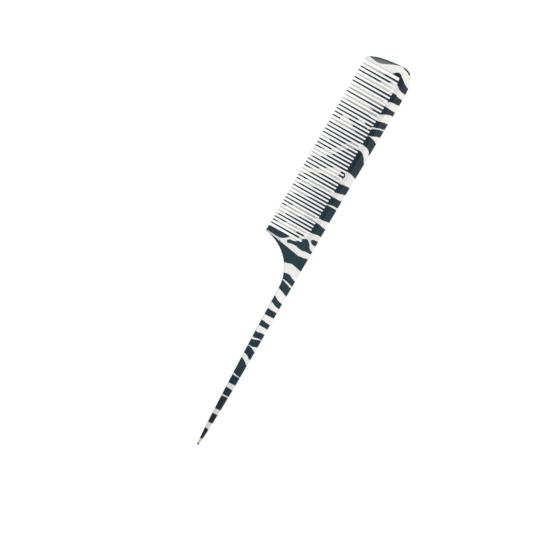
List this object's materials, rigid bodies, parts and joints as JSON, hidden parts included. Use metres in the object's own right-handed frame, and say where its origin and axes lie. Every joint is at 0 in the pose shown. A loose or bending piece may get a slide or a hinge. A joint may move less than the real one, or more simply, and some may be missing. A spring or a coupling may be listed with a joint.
{
  "type": "rat tail comb",
  "caption": "Flat moulded hair comb with a row of fine teeth between two guards and a long tapering tail, printed all over with a zebra stripe.",
  "frame": {"origin": "middle of the comb's box, on the face it lies on", "axes": "+X along the comb towards the head end, +Y from the back towards the tooth tips, +Z through the thickness, up"},
  "size_m": [0.22, 0.0286, 0.0038],
  "materials": {
    "pale_print": "glossy printed plastic, warm off-white with grey and pink tints",
    "dark_print": "glossy printed plastic, blue-black slate",
    "tip_print": "glossy printed plastic, cream"
  },
  "bodies": {
    "root": {"spine": "pale_print", "head_end_guard": "pale_print", "heel_guard": "dark_print", "neck": "dark_print", "tail": "dark_print", "tail_tip": "tip_print", "tooth_01": "pale_print", "tooth_02": "dark_print", "tooth_03": "dark_print", "tooth_04": "pale_print", "tooth_05": "dark_print", "tooth_06": "dark_print", "tooth_07": "pale_print", "tooth_08": "pale_print", "tooth_09": "dark_print", "tooth_10": "pale_print", "tooth_11": "pale_print", "tooth_12": "dark_print", "tooth_13": "dark_print", "tooth_14": "dark_print", "tooth_15": "dark_print", "tooth_16": "dark_print", "tooth_17": "pale_print", "tooth_18": "dark_print", "tooth_19": "dark_print", "tooth_20": "dark_print", "tooth_21": "dark_print", "tooth_22": "dark_print", "tooth_23": "dark_print", "tooth_24": "dark_print", "tooth_25": "dark_print", "tooth_26": "dark_print", "tooth_27": "dark_print", "tooth_28": "dark_print", "tooth_29": "dark_print", "tooth_30": "pale_print", "tooth_31": "dark_print", "tooth_32": "dark_print", "tooth_33": "dark_print", "tooth_34": "pale_print", "tooth_35": "dark_print", "tooth_36": "dark_print", "tooth_37": "dark_print", "tooth_38": "dark_print", "tooth_39": "dark_print", "tooth_40": "dark_print", "tooth_41": "dark_print", "tooth_42": "pale_print", "tooth_43": "pale_print", "tooth_44": "dark_print", "tooth_45": "dark_print", "tooth_46": "dark_print", "tooth_47": "pale_print", "tooth_48": "pale_print", "tooth_49": "dark_print"}
  },
  "joints": []
}
